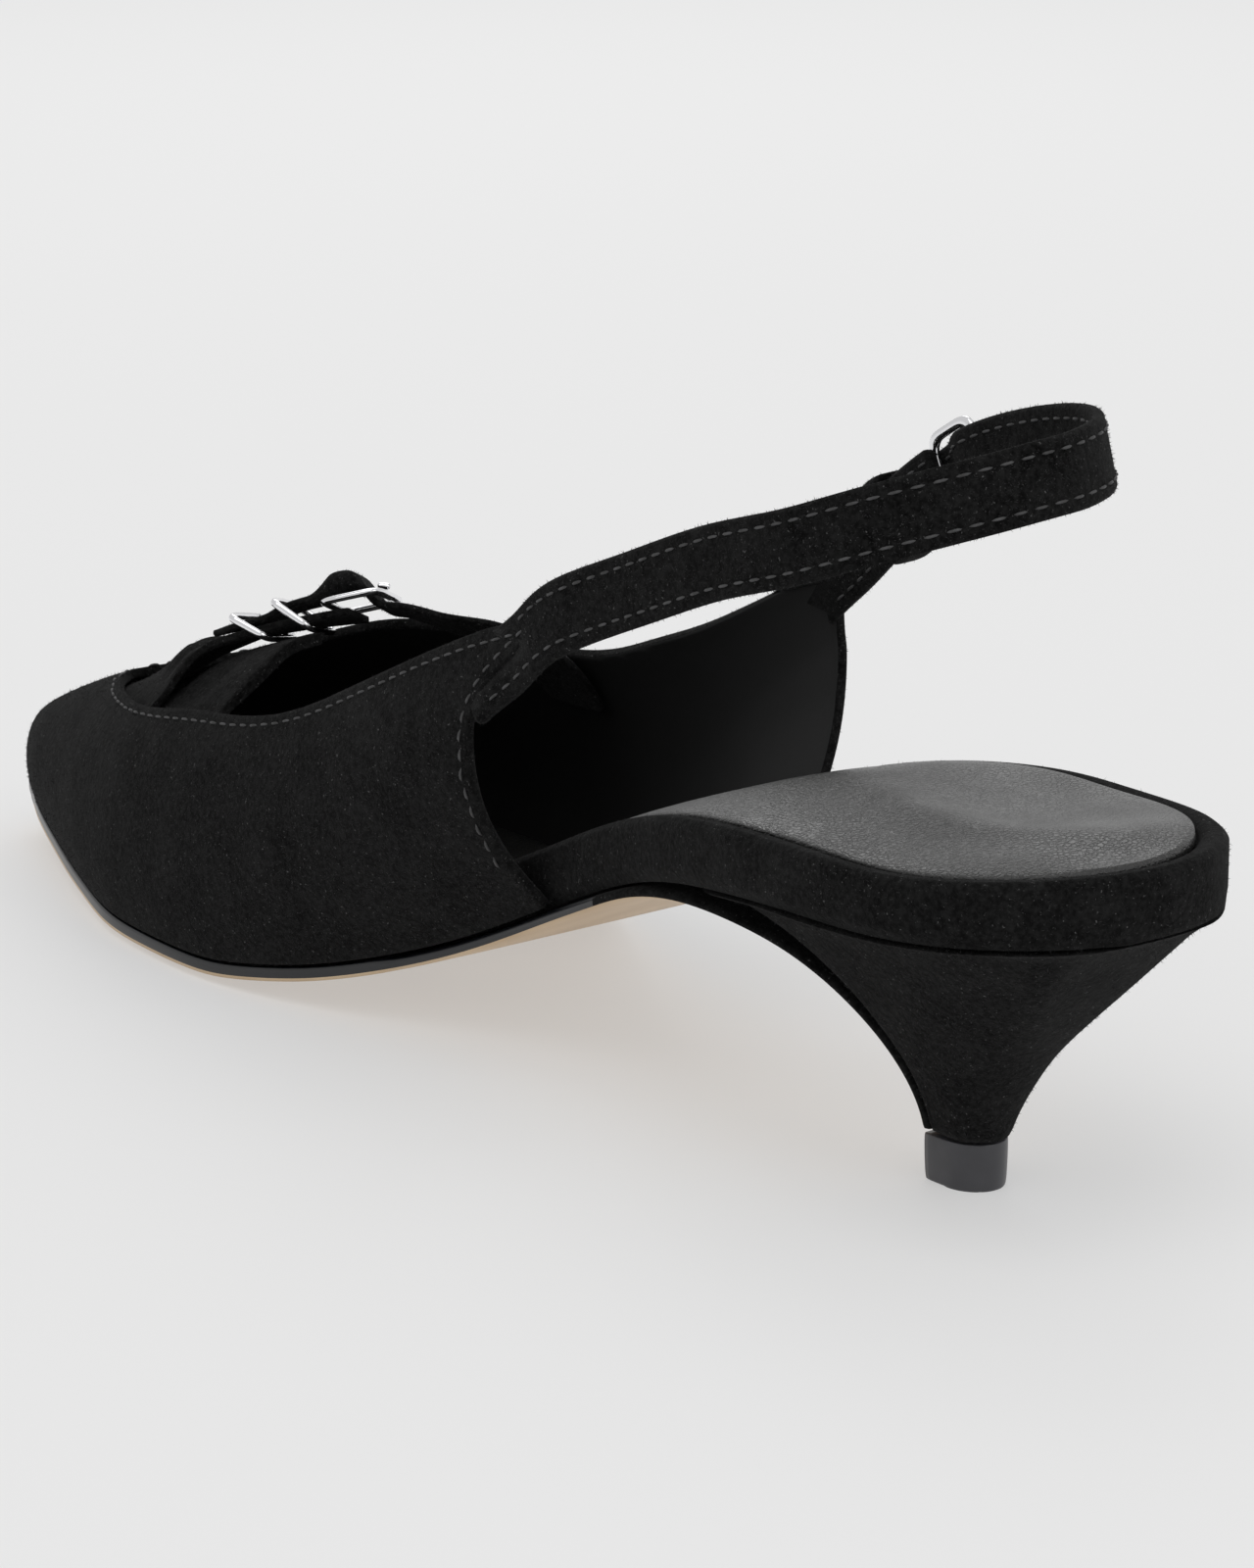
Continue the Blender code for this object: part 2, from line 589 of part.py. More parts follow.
def make_heel_tip(ring):
    z_top = ring[:, 2].min() - GAP
    rings = []
    front = (BREAST[-1][0] * LENGTH)
    back = HEEL_BACK[-1][0] * LENGTH
    for z, grow in ((0.0, 0.93), (0.0006, 0.97), (z_top - 0.0004, 1.0), (z_top, 0.97)):
        shape = []
        for i in range(13):
            t = math.pi * i / 12
            x = back + (front - back) * 0.55 * (1 - math.sin(t))
            y = TIP_WIDTH / 2 * math.cos(t)
            shape.append((x, y))
        shape = [(front, TIP_WIDTH / 2)] + shape + [(front, -TIP_WIDTH / 2)]
        cx = (front + back) / 2
        rings.append([(cx + (x - cx) * grow, y * grow, z) for x, y in shape])
    rings = [np.array(r)[::-1] for r in rings]
    k, n = len(rings[0]), len(rings)
    verts = [v for r in rings for v in r]
    faces = grid_faces(n, k, closed=True)
    faces += [tuple(range(k))[::-1], tuple((n - 1) * k + j for j in range(k))]
    build("heel_tip", verts, faces, TIP)


# Upper: one wall round the toe, open over the instep, behind the sides and underneath
def make_upper():
    rows_low, rows_high = 4, 8
    x0 = 0.395
    xs = np.concatenate([stations(x0, APEX, 22), stations(APEX, 1.0, 11, bend_b=1.25)[1:]])
    verts, faces = [], []
    span = 1 - x0
    for side, col in ((1, 1), (-1, 2)):
        grid = []
        for u0 in xs:
            fade = max(0.0, 1 - (u0 - x0) / span / 0.36) ** 2
            rowpts = []
            for j in range(rows_low + rows_high + 1):
                t = j / (rows_low + rows_high)
                rear = float(curve(column(REAR_EDGE, 0), column(REAR_EDGE, col), t))
                u = u0 + (rear - x0) * fade
                if j <= rows_low:
                    p = last_point(u, side, j / rows_low, None)
                else:
                    share = 1.0 if u0 >= APEX - 1e-9 else float(
                        curve(column(TOPLINE, 0), column(TOPLINE, col), u))
                    high = math.pi / 2 if share >= 1 else math.asin(share)
                    p = last_point(u, side, None, high * (j - rows_low) / rows_high)
                rowpts.append(p)
            grid.append(rowpts)
        base = len(verts)
        cols = rows_low + rows_high + 1
        verts += [p for row in grid for p in row]
        cells = grid_faces(len(xs), cols, start=base)
        faces += cells if side > 0 else [f[::-1] for f in cells]
    shell("upper", verts, faces, UPPER_WALL, SUEDE)


def shell(name, verts, faces, wall, look):
    """Give a surface its wall: faces inward by wall, closed along every free edge."""
    points, faces = weld(verts, faces)
    normals = np.zeros_like(points)
    for a, b, c in triangles(faces):
        n = np.cross(points[b] - points[a], points[c] - points[a])
        for i in (a, b, c):
            normals[i] += n
    normals = unit(normals)
    mean = points.mean(0)
    if np.sum((points - mean) * normals) < 0:
        normals = -normals
    n = len(points)
    edges = {}
    for f in faces:
        for i in range(len(f)):
            a, b = f[i - 1], f[i]
            edges[(a, b)] = edges.get((a, b), 0) + 1
    free = [(a, b) for a, b in edges if (b, a) not in edges]
    inside = points - normals * wall
    tip = points[:, 0] > LENGTH - 1e-6
    if tip.any():
        middle = points[tip][:, 2].mean()
        inside[tip] = points[tip] - np.array([1.15 * wall, 0, 0])
        inside[tip, 2] = middle + (points[tip, 2] - middle) * 0.7
    for i in range(n):
        floor = float(board_z(points[i][0] / LENGTH)) + GAP
        inside[i][2] = max(inside[i][2], min(points[i][2], floor))
    solid = [tuple(f) for f in faces] + [tuple(n + i for i in f[::-1]) for f in faces]
    solid += [(b, a, n + a, n + b) for a, b in free]
    build(name, list(points) + list(inside), solid, look)


# Heel strap: rooted inside the inner side, round the back of the foot, buckled outside
def strap_curve():
    rows = list(STRAP_PATH)
    pts = np.array([(a * LENGTH, b * SEAT_WIDTH, c * HEEL_HEIGHT) for a, b, c, d in rows])
    lean = np.array([d for a, b, c, d in rows])
    dist = np.concatenate([[0], np.cumsum(np.linalg.norm(np.diff(pts, axis=0), axis=1))])
    return pts, lean, dist


def strap_piece(start, end, count):
    pts, lean, dist = strap_curve()
    s = np.linspace(start, end, count) * dist[-1]
    path = np.stack([curve(dist, pts[:, k], s) for k in range(3)], 1)
    tilt = curve(dist, lean, s)
    along = unit(np.gradient(path, axis=0))
    flat = np.cross(np.array([0, 0, 1.0]), along)
    out = unit(flat)
    out = np.where(np.sum(out * (path - np.array([0.06, 0, 0])) * (1, 1, 0), axis=1,
                          keepdims=True) < 0, -out, out)
    up = np.cross(along, out)
    up = up * np.sign(up[:, 2:3])
    wide = unit(up + out * tilt[:, None])
    return path, wide, out, s / dist[-1]


BUCKLE_S = 0.775


def make_straps():
    """The strap runs under the frame's rear bar, up through it and over its front bar."""
    base = STRAP_THICK / 2
    frame_out = base + 0.0003 + METAL / 2
    over = frame_out + METAL / 2 + 0.0003 + base
    rest = 3 * base + 0.0003
    end = BUCKLE_S + 0.112
    path, wide, out, s = strap_piece(0.010, end, 84)
    rise = over * ramp(s, BUCKLE_S - 0.015, BUCKLE_S + 0.012)
    rise -= (over - rest) * ramp(s, BUCKLE_S + 0.030, BUCKLE_S + 0.052)
    path = path + out * rise[:, None]
    point = 1 - 0.6 * ramp(s, end - 0.022, end) ** 2
    sweep("sling_strap", path, wide, STRAP_WIDTH * point, np.full(len(s), STRAP_THICK), SUEDE)
    path, wide, out, s = strap_piece(BUCKLE_S + 0.014, 0.992, 22)
    path = path - out * 0.0002
    sweep("sling_tab", path, wide, np.full(22, STRAP_WIDTH), np.full(22, STRAP_THICK), SUEDE)

    def at(s0, lift):
        path, wide, out, s = strap_piece(s0 - 0.012, s0 + 0.012, 3)
        along = unit(path[2] - path[0])
        up = unit(wide[1] - along * np.dot(wide[1], along))
        n = unit(np.cross(along, up))
        n = n * np.sign(np.dot(n, out[1]))
        return path[1] + n * lift, along, up, n

    centre, along, up, n = at(BUCKLE_S, frame_out)
    half_up = STRAP_WIDTH / 2 + GAP + 0.0016
    frame_ring("sling_buckle", centre, along, up, 0.0058, half_up, 0.0015, METAL, STEEL, 0.45)
    centre, along, up, n = at(BUCKLE_S + 0.072, (rest - 0.0002) / 2)
    tall = (rest + 2 * base) / 2 + GAP + 0.0009
    frame_ring("sling_keeper", centre, n, up, tall, STRAP_WIDTH / 2 + GAP + 0.0009,
               0.0009, 0.0045, SUEDE, 0.25)
    # The prong lies on the strap and rests on the frame's rear bar
    centre, along, up, n = at(BUCKLE_S, 0)
    start = centre + along * 0.0030 + n * (over + base + 0.0008)
    stop = centre - along * 0.0064 + n * (frame_out + METAL / 2 + 0.0009)
    rod("sling_prong", [start, centre + along * 0.0002 + n * (over + base + 0.0006),
                        centre - along * 0.0030 + n * (over + 0.0006), stop], PRONG / 2, STEEL)


def rod(name, path, radius, look, sides=8):
    path = np.array(path, float)
    dist = np.concatenate([[0], np.cumsum(np.linalg.norm(np.diff(path, axis=0), axis=1))])
    s = np.linspace(0, dist[-1], 3 * len(path))
    path = np.stack([curve(dist, path[:, k], s) for k in range(3)], 1)
    along = unit(np.gradient(path, axis=0))
    side = unit(np.cross(along, np.array([0.13, 0.21, 0.97])))
    other = np.cross(along, side)
    rings = []
    for i, (p, a, b) in enumerate(zip(path, side, other)):
        r = radius * (0.7 if i in (0, len(path) - 1) else 1.0)
        rings.append([p + r * (a * math.cos(2 * math.pi * k / sides)
                               + b * math.sin(2 * math.pi * k / sides)) for k in range(sides)])
    tube(name, rings, look)


def over_last(u, v, lift=0.0):
    """Point above the last's surface; v runs down from the ridge, inner side positive."""
    def surface(a, b):
        return last_point(a, 1 if b >= 0 else -1, None, math.pi / 2 * (1 - min(abs(b), 1.0)))
    p = surface(u, v)
    du = surface(u + 0.006, v) - surface(u - 0.006, v)
    dv = surface(u, v + 0.06) - surface(u, v - 0.06)
    n = unit(np.cross(du, dv))
    n = n * (1 if n[2] > 0 else -1)
    return p + n * lift, n


def belt_axis(q):
    """Station and side share of the belt's middle, q from its neck to its end."""
    return np.array(BELT_NECK) + (np.array(BELT_END) - np.array(BELT_NECK)) * q


def belt_frame(q):
    """The belt's middle on its underside, its direction, the way across and its normal."""
    mid, n = over_last(*belt_axis(q), -BELT_DROP)
    along = over_last(*belt_axis(q - 0.12))[0] - over_last(*belt_axis(q + 0.12))[0]
    along = unit(along - n * np.dot(along, n))
    across = np.cross(along, n)
    return mid, along, across * (1 if across[0] < 0 else -1), n


def belt_edge(q, p):
    """Station and side share at p across the belt, 0 at its front edge and 1 at its rear."""
    u, v = belt_axis(q)
    here, along, across, n = belt_frame(q)
    start, du, dv = over_last(u, v)[0], 0.01, 0.05
    basis = np.stack([(over_last(u + du, v)[0] - start) / du,
                      (over_last(u, v + dv)[0] - start) / dv], 1)
    move, *_ = np.linalg.lstsq(basis, across * BELT_WIDTH * (p - 0.5), rcond=None)
    return np.array([u, v]) + move


def make_belt():
    cols, fan, run = 17, 15, 12
    base = np.array(BELT_BASE)
    spread = np.linspace(0, 1, len(base))
    hidden = -(UPPER_WALL + 2 * GAP + BELT_THICK)
    ps = np.linspace(0, 1, cols)
    neck = [belt_edge(0.0, p) for p in ps]
    mid, along, across, n = belt_frame(0.0)
    flat = [np.dot(mid - over_last(*k1, -BELT_DROP)[0], n) for k1 in neck]
    top, under = [], []
    for i in range(fan + run):
        row_t, row_u = [], []
        for p, k1, level in zip(ps, neck, flat):
            if i < fan:
                b = np.array([curve(spread, base[:, k], p) for k in range(2)])
                q = i / (fan - 1)
                uv = b + (k1 - b) * (1.5 * q - 0.5 * q ** 3)
                rise = float(ramp(q, 0.12 + 0.17 * p, 0.48 + 0.28 * p))
                fold = float(ramp(q, 0.34, 0.56) * (1 - ramp(q, 0.62, 0.86)))
                wave = 0.5 + 0.5 * math.cos(2 * math.pi * (3 * p + 0.12))
                edge = math.sin(math.pi * min(1.0, p * 4 + 0.15, (1 - p) * 4 + 0.15) / 2)
                lift = hidden + (-BELT_DROP - hidden) * rise + 0.0014 * wave * fold * edge
                low, n = over_last(uv[0], uv[1], lift + level * float(ramp(q, 0.5, 1.0)))
            else:
                mid, along, across, n = belt_frame((i - fan + 1) / run)
                low = mid + across * BELT_WIDTH * (p - 0.5)
            row_t.append(low + n * BELT_THICK)
            row_u.append(low)
        top.append(row_t)
        under.append(row_u)
    slab("instep_belt", np.array(top), np.array(under), SUEDE)


def make_pleat():
    """Rear pleat of the gathered panel, running up under the belt."""
    base, crown = np.array(PLEAT_BASE), np.array(PLEAT_TOP)
    spread = np.linspace(0, 1, len(base))
    deep = -(UPPER_WALL + 2 * BELT_THICK + 3.5 * GAP)
    roof = -(BELT_DROP + 2 * KEEPER_BAR + BELT_THICK + 2 * GAP)
    top, under = [], []
    for q in np.linspace(0, 1, 14):
        row_t, row_u = [], []
        for p in np.linspace(0, 1, 13):
            b = np.array([curve(spread, base[:, k], p) for k in range(2)])
            c = np.array([curve(spread, crown[:, k], p) for k in range(2)])
            uv = b + (c - b) * q
            wave = 0.5 + 0.5 * math.cos(2 * math.pi * (2.5 * p + 0.4))
            fold = float(ramp(q, 0.32, 0.50) * (1 - ramp(q, 0.60, 0.86)))
            hang = 0.0010 * float(ramp(p, 0.3, 1.0)) * math.sin(math.pi * q)
            rise = float(ramp(q, 0.42 - 0.16 * p, 1.0 - 0.15 * p))
            lift = deep + (roof - deep) * rise - 0.0010 * wave * fold - hang
            low, n = over_last(uv[0], uv[1], lift)
            row_t.append(low + n * BELT_THICK)
            row_u.append(low)
        top.append(row_t)
        under.append(row_u)
    slab("instep_pleat", np.array(top), np.array(under), SUEDE)


def make_billet():
    """The belt's loose end: under the frame's far bar, over its front bar, through the keepers."""
    table = [row for row in BILLET_ROOT]
    table += [(*belt_axis(q), lift) for q, lift in BILLET_RUN]
    table = np.array(table)
    t = np.linspace(0, 1, len(table))
    pts, up, thick = [], [], []
    shares = np.linspace(0, 1, 60)
    for s in shares:
        u, v, lift = (float(curve(t, table[:, k], s)) for k in range(3))
        fold = ARCH_FOLD * BELT_THICK * float(ramp(lift, 3.9, 6.2))
        drop = BELT_DROP * float(ramp(s, 0.20, 0.32)) + fold / 2
        p, n = over_last(u, v, lift * BELT_THICK - drop)
        pts.append(p)
        up.append(n)
        thick.append(BELT_THICK + fold)
    pts, up = np.array(pts), np.array(up)
    along = unit(np.gradient(pts, axis=0))
    wide = unit(np.cross(up, along))
    root = 1 + 0.45 * (1 - ramp(shares, 0.05, 0.30))
    point = 1 - 0.6 * ramp(shares, 0.93, 1) ** 2
    sweep("instep_billet", pts, wide, BILLET_WIDTH * root * point, np.array(thick), SUEDE)


def make_belt_metal():
    """Two leaning rings, each under the belt at one end and over its loose end at the other."""
    for k, (q, half, lean) in enumerate(RINGS_AT):
        p, along, across, n = belt_frame(q)
        slope = along * math.cos(lean) + n * math.sin(lean)
        reach = KEEPER_BAR * math.sin(lean) + METAL * math.cos(lean)
        lift = half * math.sin(lean) - 0.6 * reach - GAP / 2
        frame_ring(f"instep_keeper_{k + 1}", p + n * lift, slope, across, half + KEEPER_BAR / 2,
                   BELT_WIDTH / 2 + RING_EASE + KEEPER_BAR, KEEPER_BAR, METAL, STEEL, 0.3)
    p, along, across, n = belt_frame(BUCKLE_AT)
    tilt = unit(along - n * 0.10)
    centre = p + n * (BELT_THICK * 2.45)
    frame_ring("instep_buckle", centre, tilt, across, BUCKLE_HALF, BELT_WIDTH / 2 + 0.0018,
               BUCKLE_BAR, METAL, STEEL, 0.25)
    far = centre - tilt * (BUCKLE_HALF - BUCKLE_BAR / 2) + n * (METAL + PRONG) / 2
    steps = ((0.0016, 0.0007), (0.0008, 0.0006), (0.0003, 0.0004), (-0.0003, 0.0002))
    rod("instep_prong", [far + tilt * back + n * lift for back, lift in steps], PRONG / 2, STEEL)


def main():
    line, normal = make_outsole()
    make_footbed()
    make_sock()
    ring = make_heel(line, normal)
    make_heel_tip(ring)
    make_upper()
    make_straps()
    make_belt()
    make_pleat()
    make_billet()
    make_belt_metal()


main()

low = np.min([p.min(0) for _, p, _, _, _ in PARTS], axis=0)
high = np.max([p.max(0) for _, p, _, _, _ in PARTS], axis=0)
SHIFT = np.array([(low[0] + high[0]) / 2, (low[1] + high[1]) / 2, 0.0])

root = bpy.data.objects.new("shoe", None)
bpy.context.scene.collection.objects.link(root)
for name, points, faces, look, smooth in PARTS:
    centre = (points.min(0) + points.max(0)) / 2
    mesh = bpy.data.meshes.new(name)
    mesh.from_pydata([tuple(p - centre) for p in points], [], [tuple(f) for f in faces])
    mesh.validate()
    obj = bpy.data.objects.new(name, mesh)
    obj.location = tuple(centre - SHIFT)
    obj.parent = root
    mesh.materials.append(material(*look))
    for polygon in mesh.polygons:
        polygon.use_smooth = smooth
    bpy.context.scene.collection.objects.link(obj)
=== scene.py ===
"""Looks of the slingback kitten heel shoe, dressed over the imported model."""
import math

import bmesh
import bpy
import numpy as np
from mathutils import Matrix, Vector
from mathutils.bvhtree import BVHTree


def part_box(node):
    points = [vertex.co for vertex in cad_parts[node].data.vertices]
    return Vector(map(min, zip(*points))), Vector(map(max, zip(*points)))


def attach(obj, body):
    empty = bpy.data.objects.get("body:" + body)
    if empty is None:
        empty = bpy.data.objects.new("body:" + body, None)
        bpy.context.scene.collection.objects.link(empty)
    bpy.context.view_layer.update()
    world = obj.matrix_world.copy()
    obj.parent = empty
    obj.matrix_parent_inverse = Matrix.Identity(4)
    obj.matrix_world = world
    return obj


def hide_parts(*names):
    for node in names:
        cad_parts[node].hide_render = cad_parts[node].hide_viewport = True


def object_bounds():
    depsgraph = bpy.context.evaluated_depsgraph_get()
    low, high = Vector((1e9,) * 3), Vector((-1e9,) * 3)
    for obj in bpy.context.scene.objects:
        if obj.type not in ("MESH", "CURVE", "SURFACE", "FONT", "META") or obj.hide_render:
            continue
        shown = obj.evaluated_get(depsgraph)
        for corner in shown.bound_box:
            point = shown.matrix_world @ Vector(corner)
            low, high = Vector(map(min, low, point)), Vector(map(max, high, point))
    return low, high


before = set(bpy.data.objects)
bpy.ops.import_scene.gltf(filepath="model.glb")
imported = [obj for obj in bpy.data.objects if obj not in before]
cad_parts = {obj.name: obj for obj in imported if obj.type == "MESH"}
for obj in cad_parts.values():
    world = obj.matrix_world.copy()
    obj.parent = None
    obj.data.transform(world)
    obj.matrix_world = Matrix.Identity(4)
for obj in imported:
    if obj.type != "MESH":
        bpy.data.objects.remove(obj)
CAD_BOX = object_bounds()

# View: where the camera stands, seen from the point it looks at, and its lens in the photo's pixels
AZIMUTH = math.radians(51.72)
ELEVATION = math.radians(15.72)
DISTANCE = 0.7603
AIM = Vector((-0.0195, 0.0050, 0.0393))
FOCAL_PIXELS = 5357.9
PHOTO_HEIGHT = 1600
SENSOR = 36.0
CLIP = (0.01, 50)

# Places along the shoe, measured from its back end: where the quarters stop, the heel's middle
BACK = CAD_BOX[0].x
QUARTERS_STOP = BACK + 0.0949
HEEL_MIDDLE = BACK + 0.0519

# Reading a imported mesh: what is joined into quads, and what counts as an edge or a corner
WELD = 2e-6
QUAD_BEND = math.radians(30)
QUAD_SKEW = math.radians(70)
SHARP = math.radians(38)
CORNER = math.radians(50)

# Stitches, in metres, with their profile as shares of the thread's width
STITCH_LENGTH = 0.0021
STITCH_PITCH = 0.0030
STITCH_WIDTH = 0.00042
STITCH_RISE = 0.30
STITCH_DIP = 0.55
STITCH_END = 0.2
STITCH_RINGS = 5
STITCH_SIDES = 6

# Where stitches run: how far in from an edge, how far off the sole, and the fewest points that a
# stretch of the upper's rim or an edge of a strap has to have
EDGE_TO_STITCH = 0.0018
STRAP_EDGE_TO_STITCH = 0.0013
SOLE_TO_STITCH = 0.006
SHORTEST_RUN = 4
SHORTEST_EDGE = 13

# Loose fibres: size in metres, range of their lengths, and how far they stand up
FIBRE_LENGTH = 0.00060
FIBRE_WIDTH = 0.000045
FIBRE_LENGTHS = (0.5, 1.3)
FIBRE_LIFT = (0.15, 0.8)

# Which way faces look, as parts of their normals: flat ones of the sole, its tan underside, its
# rim, the front of its tongue (forward and not up), the top of the sock and of the pleat
FLAT = 0.8
UNDERSIDE = -0.55
RIM = 0.5
TONGUE_FORWARD = 0.5
TONGUE_UP = 0.15
SOCK_TOP = 0.6
PLEAT_TOP = 0.5

# How much of the sole's rim is tan, from below
TAN_SHARE = 0.24

# Rear pleat: how far it swells, and over what share of its height
PLEAT_FULL = 0.0010
PLEAT_FROM = 0.55
PLEAT_RUN = 0.25

# Heel: the flare at the top of its cover, outside a core round its middle
HEEL_CORE = 0.008
FLARE = 0.0010
FLARE_TALL = 0.012
FLARE_RUN = 0.010

# Padded seat: its middle from the sock's back end, half its length and width, and as shares of
# these the roll round it and the hollow inside
SEAT_MIDDLE = 0.034
SEAT_Y = -0.005
SEAT_LONG = 0.040
SEAT_WIDE = 0.026
ROLL_HEIGHT = 0.0009
ROLL_AT = 0.62
ROLL_WIDTH = 0.17
HOLLOW_DEPTH = 0.0007
HOLLOW_WIDTH = 0.40

# Roots of the sling strap and its tab: over what length they lead out before the quarters stop,
# how far out, how deep they reach into the seam, and how far off rays start to find the quarters
ROOT_RUN = 0.017
ROOT_PUSH = 0.0026
SEAM_DEPTH = Vector((-0.0010, 0.0, 0.0011))
RAY_START = 0.2

# Setting: a wide pale floor with a faint glow of its own, under an even sky
FLOOR_RADIUS = 40.0
FLOOR_GREY = 0.45
FLOOR_MOTTLE = 0.002
FLOOR_GLOW = 0.39
SKY_GREY = 0.9
SKY_STRENGTH = 0.71


# Meshes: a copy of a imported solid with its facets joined, rounded and finished
def quads_of(name):
    """bmesh of a CAD node with its triangles joined back into quads."""
    bm = bmesh.new()
    bm.from_mesh(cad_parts[name].data)
    bmesh.ops.remove_doubles(bm, verts=bm.verts, dist=WELD)
    bmesh.ops.join_triangles(bm, faces=bm.faces, angle_face_threshold=QUAD_BEND,
                             angle_shape_threshold=QUAD_SKEW)
    bmesh.ops.recalc_face_normals(bm, faces=bm.faces)
    bm.faces.index_update()
    return bm


def tree_of(bm, faces=None):
    """Tree for finding the nearest place on a bmesh, or on some of its faces."""
    copy = bm.copy()
    if faces is not None:
        chosen = {f.index for f in faces}
        drop = [f for f in copy.faces if f.index not in chosen]
        bmesh.ops.delete(copy, geom=drop, context="FACES")
    tree = BVHTree.FromBMesh(copy)
    copy.free()
    return tree


def node_tree(name):
    """Tree of a whole CAD node."""
    bm = quads_of(name)
    tree = tree_of(bm)
    bm.free()
    return tree


def sheets(bm):
    """Groups of faces that meet smoothly, the largest area first."""
    left, found = set(bm.faces), []
    for seed in bm.faces:
        if seed not in left:
            continue
        left.discard(seed)
        # The keys of a dict keep the same order in every run, and a set's members don't
        group, stack = {seed: True}, [seed]
        while stack:
            for e in stack.pop().edges:
                if len(e.link_faces) != 2 or e.calc_face_angle(0) > SHARP:
                    continue
                for f in e.link_faces:
                    if f in left:
                        left.discard(f)
                        group[f] = True
                        stack.append(f)
        found.append(group)
    return sorted(found, key=lambda g: -sum(f.calc_area() for f in g))


def rims(group):
    """Closed chains of points round a group of faces, with the way into the group at each."""
    edges = [e for f in group for e in f.edges if sum(g in group for g in e.link_faces) == 1]
    at = {}
    for e in edges:
        for v in e.verts:
            at.setdefault(v, []).append(e)
    chains, used = [], set()
    for start in edges:
        if start in used:
            continue
        v, e, chain = start.verts[0], start, []
        while e not in used:
            used.add(e)
            face = next(f for f in e.link_faces if f in group)
            other = e.other_vert(v)
            inward = face.normal.cross((other.co - v.co).normalized())
            if inward.dot(face.calc_center_median() - v.co) < 0:
                inward = -inward
            chain.append((v.co.copy(), inward.normalized()))
            v = other
            e = next((x for x in at[v] if x not in used), e)
        chains.append(chain)
    return sorted(chains, key=len, reverse=True)


def turn(chain, i):
    """Angle by which a closed chain turns at one of its points."""
    a, b, c = chain[i - 1][0], chain[i][0], chain[(i + 1) % len(chain)][0]
    return (b - a).angle(c - b, 0)


def split(chain, corners):
    """Stretches of a closed chain from each corner to the next."""
    if len(corners) < 2:
        return [chain]
    return [[chain[k % len(chain)] for k in range(a, (b if b > a else b + len(chain)) + 1)]
            for a, b in zip(corners, corners[1:] + corners[:1])]


def runs(chain, keep):
    """Stretches of a closed chain whose points pass keep, in order."""
    flags = [keep(p) for p, _ in chain]
    if all(flags):
        return [chain + chain[:1]]
    first = flags.index(False)
    found, run = [], []
    for i in range(first, first + len(chain)):
        if flags[i % len(chain)]:
            run.append(chain[i % len(chain)])
        elif run:
            found.append(run)
            run = []
    if run:
        found.append(run)
    return [r for r in found if len(r) >= SHORTEST_RUN]


def inset_line(run, offset):
    """Points a set way in from a rim, evened out so that corners stay round."""
    points = [p + d * offset for p, d in run]
    for _ in range(2):
        points = [points[0]] + [(a + b * 2 + c) / 4 for a, b, c in
                                zip(points, points[1:], points[2:])] + [points[-1]]
    return points


def piece(name, bm, mats, stands_for, levels, crease):
    """Object in place of a CAD node, from a bmesh, subdivided with its sharp edges kept."""
    layer = bm.edges.layers.float.get("crease_edge") or bm.edges.layers.float.new("crease_edge")
    for e in bm.edges:
        if e.calc_face_angle(0) > SHARP:
            e[layer] = crease
    mesh = bpy.data.meshes.new(name)
    bm.to_mesh(mesh)
    bm.free()
    obj = bpy.data.objects.new(name, mesh)
    bpy.context.scene.collection.objects.link(obj)
    for mat in mats:
        mesh.materials.append(mat)
    mesh.shade_smooth()
    rounding = obj.modifiers.new("round", "SUBSURF")
    rounding.levels = rounding.render_levels = levels
    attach(obj, "root")
    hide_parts(stands_for)
    return obj


def freeze(obj):
    """Keep the rounded mesh itself, so that single faces can be chosen."""
    graph = bpy.context.evaluated_depsgraph_get()
    mesh = bpy.data.meshes.new_from_object(obj.evaluated_get(graph))
    obj.modifiers.clear()
    obj.data = mesh


def share(value, start, run):
    """How far a value has come from start over a run, from 0 to 1."""
    return min(1.0, max(0.0, (value - start) / run))


# Materials
def shader(name, colour, rough, metal=0.0, **inputs):
    """New material with its Principled shader set, and the place on the object to colour by."""
    mat = bpy.data.materials.new(name)
    mat.use_nodes = True
    tree = mat.node_tree
    out = tree.nodes["Principled BSDF"]
    out.inputs["Base Color"].default_value = (*colour, 1)
    out.inputs["Roughness"].default_value = rough
    out.inputs["Metallic"].default_value = metal
    for key, value in inputs.items():
        out.inputs[key.replace("_", " ")].default_value = value
    place = tree.nodes.new("ShaderNodeTexCoord")
    return mat, tree, out, place.outputs["Object"]


def noise(tree, place, scale, detail=2.0, rough=0.5):
    """Cloudy values between 0 and 1."""
    node = tree.nodes.new("ShaderNodeTexNoise")
    node.inputs["Scale"].default_value = scale
    node.inputs["Detail"].default_value = detail
    node.inputs["Roughness"].default_value = rough
    tree.links.new(place, node.inputs["Vector"])
    return node.outputs["Fac"]


def ramp(tree, value, stops):
    """Colours, or greys, between stops of (value, colour or grey)."""
    node = tree.nodes.new("ShaderNodeValToRGB")
    band = node.color_ramp
    while len(band.elements) < len(stops):
        band.elements.new(0.5)
    for element, (at, grey) in zip(band.elements, stops):
        element.position = at
        element.color = (*grey, 1) if isinstance(grey, tuple) else (grey, grey, grey, 1)
    tree.links.new(value, node.inputs["Fac"])
    return node.outputs["Color"]


def bump(tree, out, heights):
    """Chain of bumps: (height, depth in metres, strength)."""
    last = None
    for height, depth, strength in heights:
        node = tree.nodes.new("ShaderNodeBump")
        node.inputs["Distance"].default_value = depth
        node.inputs["Strength"].default_value = strength
        tree.links.new(height, node.inputs["Height"])
        if last:
            tree.links.new(last, node.inputs["Normal"])
        last = node.outputs["Normal"]
    tree.links.new(last, out.inputs["Normal"])


